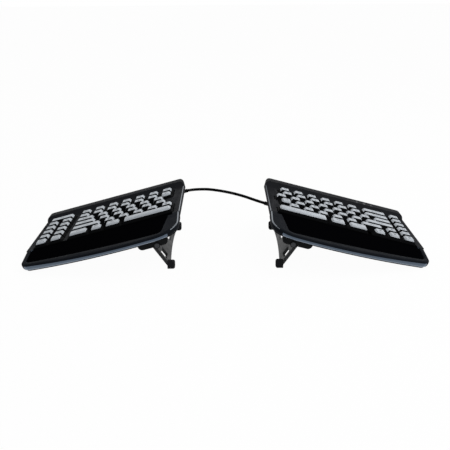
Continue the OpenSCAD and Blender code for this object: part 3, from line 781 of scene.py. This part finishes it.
def in_front_row(place):
    """Whether a cap is in the row nearest to the typist."""
    return abs(place[1]) < ROW_REACH


def is_painted_lit(face, places, open_fronts):
    """Whether a face gets the silver painted light: a cap's top, an outer flank, or high on a front that nothing
    hides.
    """
    m = face.calc_center_median()
    place = cap_at(m, places)
    u, v, half_u, half_v = place
    shown = place in open_fronts
    if m.z > CAP_TOP - TOP_BAND and face.normal.z > (0.3 if shown else 0.8):
        return True
    flank = abs(face.normal.x) > 0.6 and abs(m.x - u) > half_u and face.normal.x * (m.x - u) > 0
    front = shown and face.normal.y < -0.6 and m.y < v - half_v
    return m.z > (FRONT_END if shown else FLANK_END) and (flank or front)


print("silver ends", round(FLANK_END / MM, 1), "mm over the deck")

# %% [markdown]
# ## Rows of caps
# All caps of a solid are shaped together. Their outer edges are bevelled, then each top is cut into a
# grid and bent, and two level cuts give the silver a clean end. A Boolean could hollow the tops, but
# bending a grid keeps the mesh light.

# %% Rows of caps
CAP_ROUND, BAR_ROUND, GRID_CUTS = 0.8 * MM, 1.2 * MM, 4


def near(a, b):
    """Whether two heights are the same but for rounding."""
    return abs(a - b) < 0.02 * MM


def shaped_caps(node, side):
    """All caps of a solid with rounded edges and formed tops, and the middle and size of each top."""
    crowned = "space" in node
    caps = cad_copy(node)
    move(caps, half_place(side).inverted())
    heights = {e: sorted(v.co.z for v in e.verts) for e in caps.edges}
    outer = [e for e, (low, high) in heights.items()
             if near(high, CAP_TOP) and (near(low, CAP_TOP) or near(low, SKIRT))]
    soften(caps, outer, BAR_ROUND if crowned else CAP_ROUND, 3)
    caps.normal_update()
    tops = [f for f in caps.faces if f.normal.z > 0.999 and near(f.calc_center_median().z, CAP_TOP)]
    places = draw_in(caps, [top_place(top) for top in tops])
    for top, place in zip(tops, places):
        cut = bmesh.ops.subdivide_edges(caps, edges=list(top.edges), cuts=GRID_CUTS, use_grid_fill=True)
        grid = {v for part in cut["geom"] if isinstance(part, bmesh.types.BMFace) for v in part.verts}
        for v in grid:
            if near(v.co.z, CAP_TOP):
                v.co.z += cap_form(crowned, place[2], place[3], v.co.x - place[0], v.co.y - place[1])
    inner = min(place[0] for place in places)
    open_fronts = [p for p in places if in_front_row(p) or node in OPEN_FRONTS and p[0] == inner]
    for end in (FRONT_END, FLANK_END):
        cut_along(caps, (0, 0, end), (0, 0, 1))
    caps.normal_update()
    # Silver painted light on lit faces, black painted shade on the rest.
    for f in caps.faces:
        f.material_index = 0 if is_painted_lit(f, places, open_fronts) else 1
    return caps, places


trial, tops = shaped_caps("right_home_keys", 1)
print("home row", len(tops), "caps", len(trial.faces), "faces")
trial.free()

# %% [markdown]
# ## Legends
# Plain legends are printed on the caps. Text is a curve, so it is made a mesh with a little
# thickness and then laid on the scoop, each point at the height of the cap under it. Arrow keys get
# a triangle.

# %% Legends
LEGENDS = {
    "left_function_keys": "F6 F5 F4 F3 F2 F1 Esc", "left_number_keys": "6 5 4 3 2 1 `",
    "left_upper_keys": "T R E W Q", "left_home_keys": "G F D S A", "left_lower_keys": "B V C X Z",
    "left_bottom_keys": "Alt Fn Ctrl",
    "left_shift_key": "Shift", "left_tab_key": "Tab", "left_caps_key": "Caps",
    "left_hot_keys": "Help Paste Cut Copy Undo Redo Find Save Open Back Next",
    "right_function_keys": "F7 F8 F9 F10 F11 F12", "right_number_keys": "7 8 9 0 - =",
    "right_upper_keys": "Y U I O P [ ] \\", "right_home_keys": "H J K L ; '", "right_lower_keys": "N M , . /",
    "right_bottom_keys": "Alt Ctrl", "right_shift_key": "Shift", "right_delete_key": "Delete",
    "right_backspace_key": "Backspace", "right_enter_key": "Enter", "right_arrow_keys": "< v > ^",
    "right_side_keys": "PgDn PgUp End Home Ins"}
INK = 0.06 * MM
LETTER, SHORT_WORD, LONG_WORD = 5.6 * MM, 4.0 * MM, 3.1 * MM
ARROWS = {"<": 90, "v": 180, ">": -90, "^": 0}
printed = {}


def legend_mesh(word, size):
    """A word, or an arrow, as a thin solid about the origin."""
    if (word, size) in printed:
        return printed[word, size]
    shape = bmesh.new()
    if word in ARROWS:
        bmesh.ops.create_cone(shape, cap_ends=True, segments=3, radius1=size * 0.42, radius2=size * 0.42,
                              depth=2 * INK, matrix=Matrix.Rotation(math.radians(ARROWS[word]), 4, "Z"))
    else:
        text = bpy.data.curves.new("legend", "FONT")
        text.body, text.size, text.extrude, text.resolution_u = word, size, INK, 2
        text.align_x, text.align_y = "CENTER", "CENTER"
        holder = bpy.data.objects.new("legend", text)
        shape.from_mesh(bpy.data.meshes.new_from_object(holder))
        bpy.data.objects.remove(holder)
        bmesh.ops.remove_doubles(shape, verts=shape.verts, dist=0.0005 * MM)
        bmesh.ops.recalc_face_normals(shape, faces=shape.faces)
    printed[word, size] = mesh_of(shape)
    return printed[word, size]


def join_part(shape, part, finish):
    """Adds a part to a shape with one of its finishes."""
    for face in part.faces:
        face.material_index = finish
    mesh = mesh_of(part)
    shape.from_mesh(mesh)
    bpy.data.meshes.remove(mesh)


def print_legend(caps, word, place, side, crowned):
    """Lays a word on a cap's top."""
    u, v, half_u, half_v = place
    size = LETTER if len(word) == 1 else SHORT_WORD if len(word) < 4 else LONG_WORD
    ink = bmesh.new()
    ink.from_mesh(legend_mesh(word, size))
    for vert in ink.verts:
        du, dv = side * vert.co.x, vert.co.y
        vert.co = (u + du, v + dv, CAP_TOP + cap_form(crowned, half_u, half_v, du, dv) + vert.co.z)
    if side < 0:
        bmesh.ops.reverse_faces(ink, faces=ink.faces)
    join_part(caps, ink, 2)


print("words for", len(LEGENDS), "sets of keys")

# %% [markdown]
# ## Key pieces
# Every set of keys is one piece that goes down with its own body. The words run outwards from the
# inner side, or as the set is laid out, so the caps are sorted that way before they are printed. The
# two keys that the forefingers rest on get a small raised bar.

# %% Key pieces
BAR_BEFORE, BAR_SUNK, BAR_L, BAR_T = 3.7 * MM, 0.35 * MM, 4 * MM, 0.7 * MM


def finger_bar(caps, place):
    """A small raised bar near the front of a cap's top."""
    bar = bmesh.new()
    spot = Matrix.Translation((place[0], place[1] - BAR_BEFORE, CAP_TOP - BAR_SUNK))
    bmesh.ops.create_cube(bar, size=1, matrix=spot @ Matrix.Diagonal((BAR_L, BAR_T, BAR_T, 1)))
    soften(bar, list(bar.edges), 0.2 * MM, 2)
    join_part(caps, bar, 0)


KEY_NODES = sorted(n for n in frame["nodes"] if n.endswith(("_keys", "_key", "_space_bar")))
cap_places = {}
for node in KEY_NODES:
    side = SIDES[node.split("_")[0]]
    caps, places = shaped_caps(node, side)
    if node == "left_hot_keys":
        places.sort(key=lambda p: (-round(p[1] / MM), -p[0]))
    elif node == "right_side_keys":
        places.sort(key=lambda p: p[1])
    elif node == "right_arrow_keys":
        places.sort(key=lambda p: (round(p[1] / MM), p[0]))
    else:
        places.sort(key=lambda p: p[0])
    cap_places[node] = places
    words = LEGENDS.get(node, "").split()
    for word, place in zip(words, places):
        if word in "FJ" and len(word) == 1:
            finger_bar(caps, place)
        print_legend(caps, word, place, side, "space" in node)
    move(caps, half_place(side))
    piece(node + "_shaped", caps, node + "_caps",
          [cap_lit_silver_finish, cap_shaded_black_finish, legend_finish], [node], 42)
print("key pieces", len(KEY_NODES), "legends", len(printed))

# %% [markdown]
# ## Rubber domes
# Under every key a hollow rubber dome pushes the cap back up. The domes stand on one thin sheet,
# which is the solid's copy cut off at its flat top. A dome could stay a plain cone, but a real one
# is a turned shell whose thin skirt buckles. All domes under one set of keys are one piece, which
# rides on the half.

# %% Rubber domes
SHEET_TOP, DOME_TOP = -10.6 * MM, -7.2 * MM
SUNK, PRESSED_SHARE = 0.05 * MM, 0.07
DOME_PROFILE = [(h * MM, r * MM) for h, r in (
    (2.5, 0), (2.5, 1.2), (1.6, 2.4), (0.8, 3.3), (-0.05, 3.7), (-0.05, 4.4), (0.9, 4.2), (1.7, 3.4),
    (2.1, 2.6), (2.4, 2.4), (3.4, 2.4), (3.4, 0))]
UPRIGHT = Matrix.Rotation(-math.pi / 2, 4, "Y")


def keys_over(spot, name):
    """The set of keys of a half that has the cap over a place."""
    return min((n for n in KEY_NODES if n.startswith(name)),
               key=lambda n: min(math.hypot(spot.x - p[0], spot.y - p[1]) for p in cap_places[n]))


for name, side in SIDES.items():
    place = half_place(side)
    sheet = cad_copy(name + "_dome_sheet")
    move(sheet, place.inverted())
    middles = [f.calc_center_median() for f in sheet.faces if f.normal.z > 0.99]
    spots = [m for m in middles if near(m.z, DOME_TOP)]
    cut_along(sheet, (0, 0, SHEET_TOP + SUNK), (0, 0, 1), clear_outer=True)
    bmesh.ops.holes_fill(sheet, edges=[e for e in sheet.edges if e.is_boundary])
    move(sheet, place)
    piece(name + "_rubber_sheet", sheet, name + "_half", [dome_finish], [name + "_dome_sheet"])
    sets = {}
    for spot in spots:
        sets.setdefault(keys_over(spot, name), []).append(spot)
    for node in sorted(sets):
        domes = bmesh.new()
        for spot in sets[node]:
            dome = spun(DOME_PROFILE, 12)
            dome.transform(Matrix.Translation((spot.x, spot.y, SHEET_TOP)) @ UPRIGHT)
            join_part(domes, dome, 0)
        move(domes, place)
        made = piece(node + "_domes", domes, name + "_half", [dome_finish])
        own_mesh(made)
    print(name, "domes", len(spots), "in", len(sets), "sets")

# %% [markdown]
# ## Lifters
# Under the inner side of each half two cheeks hold a steel pin, and a frame swings on it and stands
# on rubber boots. These are mouldings with lightly broken edges, the boots with rounder ones, so
# each is a softened copy of its solid, like the wedge feet under the outer edge. Short edges hold a
# bevel back, so the edges away from them are rounded first.

# %% Lifters and feet
SHORT_EDGE, SHARP = 5 * MM, 35
SOFTENED = (
    ("lifter_base", "lifter_cheeks", "half", "lifter_plastic", lifter_finish, 0.5, 2),
    ("lifter_pin", "hinge_pin", "half", "screw_steel", pin_finish, 0.4, 3),
    ("lifter_flap", "prop_frame", "flap", "flap_plastic", flap_finish, 0.6, 3),
    ("lifter_boots", "prop_boots", "flap", "foot_rubber", rubber_finish, 2.4, 5),
    ("outer_feet", "wedge_feet", "half", "foot_rubber", rubber_finish, 0.5, 2),
)
for name in SIDES:
    for node, made, body, slot, finish, width, segments in SOFTENED:
        shape = cad_copy(f"{name}_{node}")
        tight = {v for e in shape.edges if e.calc_length() < SHORT_EDGE for v in e.verts}
        soften(shape, sharp_edges(shape, lambda e: not tight.intersection(e.verts), SHARP), width * MM, segments)
        soften(shape, sharp_edges(shape, least=SHARP), width * MM, segments)
        piece(f"{name}_{made}", shape, f"{name}_{body}", [finish], [f"{name}_{node}"])
print("softened", len(SOFTENED) * 2, "pieces")

# %% [markdown]
# ## Screws
# The screws under each half have a cross recess. It could be a dark mark on the head, but two thin
# boxes cut it out of each head with a Boolean, so that it catches the light as a real one does.

# %% Screws
HEAD_AREA = 15 * MM * MM
CROSS_L, CROSS_W, CROSS_DEEP = 2.8 * MM, 0.6 * MM, 1 * MM


def cut_away(shape, tool):
    """A shape without what a second shape covers."""
    holders = [placed("part", mesh_of(part)) for part in (shape, tool)]
    cut = holders[0].modifiers.new("cut", "BOOLEAN")
    cut.object, cut.operation, cut.solver, cut.use_self = holders[1], "DIFFERENCE", "EXACT", True
    left = bmesh.new()
    left.from_mesh(evaluated_copy(holders[0]))
    for holder in holders:
        bpy.data.objects.remove(holder)
    return left


for name, side in SIDES.items():
    screws = cad_copy(name + "_case_screws")
    move(screws, half_place(side).inverted())
    heads = [f.calc_center_median() for f in screws.faces
             if f.normal.z < -0.99 and f.calc_area() > HEAD_AREA]
    soften(screws, sharp_edges(screws, least=60), 0.25 * MM, 2)
    crosses = bmesh.new()
    for head in heads:
        for size in ((CROSS_L, CROSS_W, CROSS_DEEP, 1), (CROSS_W, CROSS_L, CROSS_DEEP, 1)):
            bmesh.ops.create_cube(crosses, size=1, matrix=Matrix.Translation(head) @ Matrix.Diagonal(size))
    screws = cut_away(screws, crosses)
    move(screws, half_place(side))
    print(name, "screw heads", len(heads))
    piece(name + "_cross_screws", screws, name + "_half", [screw_finish], [name + "_case_screws"])

# %% [markdown]
# ## Light pipes and labels
# Three light pipes come up through the right half's back bar, with a small printed label before
# each. The labels are made as the legends on the caps are.

# %% Light pipes and labels
LABEL_SIZE, LABEL_U, LABEL_STEP = 2.3 * MM, 132 * MM, 10 * MM
LABEL_V, LABEL_W = BACK_V - 15 * MM, 6 * MM
pipes = cad_copy("right_light_pipes")
soften(pipes, sharp_edges(pipes, least=60), 0.3 * MM, 3)
piece("right_indicator_pipes", pipes, "right_half", [pipe_finish], ["right_light_pipes"])
labels = bmesh.new()
for k, word in enumerate(("Num", "Caps", "Scroll")):
    label = bmesh.new()
    label.from_mesh(legend_mesh(word, LABEL_SIZE))
    label.transform(Matrix.Translation((LABEL_U + LABEL_STEP * k, LABEL_V, LABEL_W)))
    join_part(labels, label, 0)
move(labels, half_place(1))
piece("right_light_labels", labels, "right_half", [label_finish])
print("small pieces done")

# %% [markdown]
# ## Solids that stay
# The guide plates, foils, steel sheets and the board are right as they are and hardly seen, so they
# keep their shape and only get a finish.

# %% Finishes for the solids that stay
INSIDE = {"key_plate": plate_finish, "membrane": foil_finish, "backing_plate": sheet_finish,
          "controller_board": board_finish}
for node, made in frame["nodes"].items():
    for part, finish in INSIDE.items():
        if node.endswith(part):
            made.data.materials.clear()
            made.data.materials.append(finish)
print("solids that stay", [n for n, o in frame["nodes"].items() if not o.hide_render])

# %% [markdown]
# ## Studio
# The keyboard stands on a white sweep. The floor and the world show plain white to the camera and to
# reflections, while the light that falls on the keyboard stays at a plain level. The floor keeps a
# faint shadow, because only part of its white is its own.

# %% Studio
SKY_LIGHT, OWN_WHITE = 0.48, 0.97


def seen_directly(tree):
    """1 for camera, glossy and transmission rays, else 0."""
    path = add(tree, "ShaderNodeLightPath")
    direct = path.outputs["Is Camera Ray"]
    for ray in ("Is Glossy Ray", "Is Transmission Ray"):
        either = add(tree, "ShaderNodeMath", {0: direct, 1: path.outputs[ray]}, operation="MAXIMUM")
        direct = either.outputs[0]
    return direct


studio = bpy.data.worlds.new("studio")
bpy.context.scene.world = studio
studio.use_nodes = True
tree = studio.node_tree
strength = add(tree, "ShaderNodeMapRange", {"Value": seen_directly(tree), "To Min": SKY_LIGHT, "To Max": 1.0})
wire(tree, tree.nodes["Background"], {"Color": (1, 1, 1, 1), "Strength": strength.outputs[0]})

paper, tree, shader = start("white_paper")
wire(tree, shader, {"Base Color": (0.85, 0.85, 0.85, 1), "Roughness": 0.9, "Specular IOR Level": 0.1})
white = add(tree, "ShaderNodeEmission", {"Color": (1, 1, 1, 1), "Strength": 1.0})
own = add(tree, "ShaderNodeMath", {0: seen_directly(tree), 1: OWN_WHITE}, operation="MULTIPLY")
join = add(tree, "ShaderNodeMixShader", {0: own.outputs[0], 1: shader.outputs[0], 2: white.outputs[0]})
wire(tree, tree.nodes["Material Output"], {"Surface": join.outputs[0]})
sweep = bmesh.new()
bmesh.ops.create_grid(sweep, x_segments=4, y_segments=4, size=12)
floor = finished("white_sweep", sweep, [paper])
print("floor", tuple(round(c, 1) for c in floor.dimensions), "m")

# %% [markdown]
# ## Lamps
# Soft light comes from the right. The stronger lamp hangs high on that side and the weaker one stands
# further in front, for the fronts of the caps and the palm rests. Bare lamps would give hard
# shadows, so both are wide areas.

# %% Lamps
LAMP_W, FRONT_W = 12.0, 4.2
LIT_SPOT = Vector((0, 0, 0.04))
for label, place, size, watts in (("overhead_softbox", (0.9, -0.15, 1.25), 1.4, LAMP_W),
                                  ("front_softbox", (0.9, -1.2, 1.0), 0.9, FRONT_W)):
    lamp = bpy.data.lights.new(label, "AREA")
    lamp.size, lamp.energy = size, watts
    holder = placed(label, lamp)
    holder.location = place
    holder.rotation_mode = "QUATERNION"
    holder.rotation_quaternion = (LIT_SPOT - holder.location).to_track_quat("-Z", "Y")
bpy.context.scene.view_settings.view_transform = "Standard"
